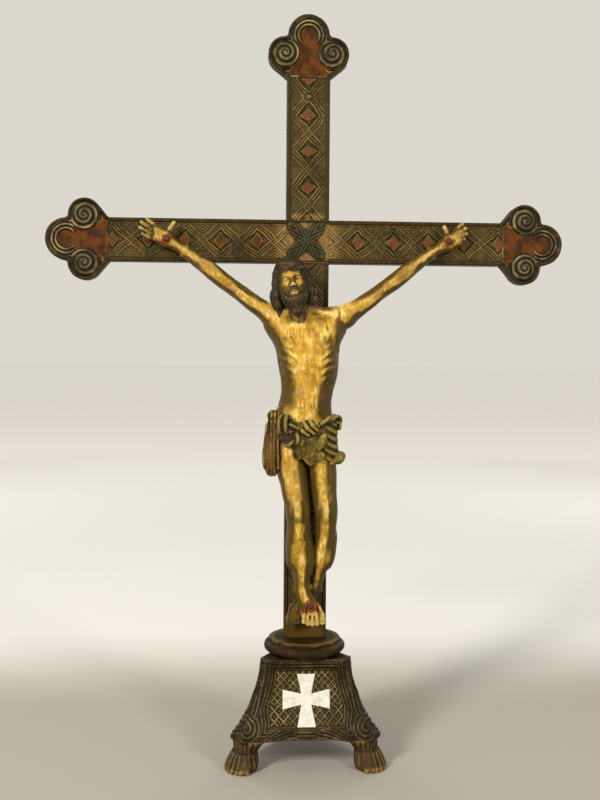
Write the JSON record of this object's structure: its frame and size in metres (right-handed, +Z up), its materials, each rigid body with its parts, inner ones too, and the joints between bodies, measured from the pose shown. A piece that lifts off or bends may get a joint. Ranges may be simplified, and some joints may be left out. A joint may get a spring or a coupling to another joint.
{
  "type": "altar cross",
  "caption": "Carved and painted wooden altar crucifix with trefoil ends, standing on a three-sided pedestal with paw feet; the cross lifts out of its base.",
  "frame": {"origin": "on the floor under the middle of the object's bounding box; the upright's axis stands 12.6 mm in front of it", "axes": "+Z up, -Y towards the viewer (the side with the figure), +X to the viewer's right along the crossbar"},
  "size_m": [0.512, 0.154, 0.7375],
  "materials": {
    "painted_pedestal": "worn dark paint over carved wood",
    "brown_plinth": "worn brown paint",
    "white_inlay": "white, chipped",
    "paw_wood": "worn brown paint with gold traces",
    "peg_wood": "bare wood",
    "carved_bar": "worn dark paint with gold and red",
    "trefoil_wood": "worn dark paint with gold edges and a red middle",
    "flesh_paint": "aged ochre paint, satin",
    "head_paint": "aged ochre and dark brown paint, satin",
    "cloth_paint": "dark olive paint, satin",
    "iron": "rusted"
  },
  "bodies": {
    "stand": {"pedestal_block": "painted_pedestal", "round_plinth": "brown_plinth", "white_cross_inlay": "white_inlay", "paw_foot_front_left": "paw_wood", "paw_foot_front_right": "paw_wood", "paw_foot_rear": "paw_wood", "foot_dowels": "peg_wood", "plinth_dowels": "peg_wood"},
    "cross": {"upright": "carved_bar", "crossbar": "carved_bar", "trefoil_top": "trefoil_wood", "trefoil_left": "trefoil_wood", "trefoil_right": "trefoil_wood", "finial_dowels": "peg_wood", "lap_joint_pegs": "peg_wood", "corpus_trunk": "flesh_paint", "corpus_head": "head_paint", "corpus_arm_left": "flesh_paint", "corpus_arm_right": "flesh_paint", "loincloth": "cloth_paint", "loincloth_tail": "cloth_paint", "neck_dowel": "peg_wood", "shoulder_dowels": "peg_wood", "corpus_back_peg": "peg_wood", "nail_left_hand": "iron", "nail_right_hand": "iron", "nail_feet": "iron"}
  },
  "joints": [
    {"name": "cross_lift", "type": "slide", "parent": "stand", "child": "cross", "axis": [0, 0, 1], "range_m": [0, 0.09]}
  ]
}
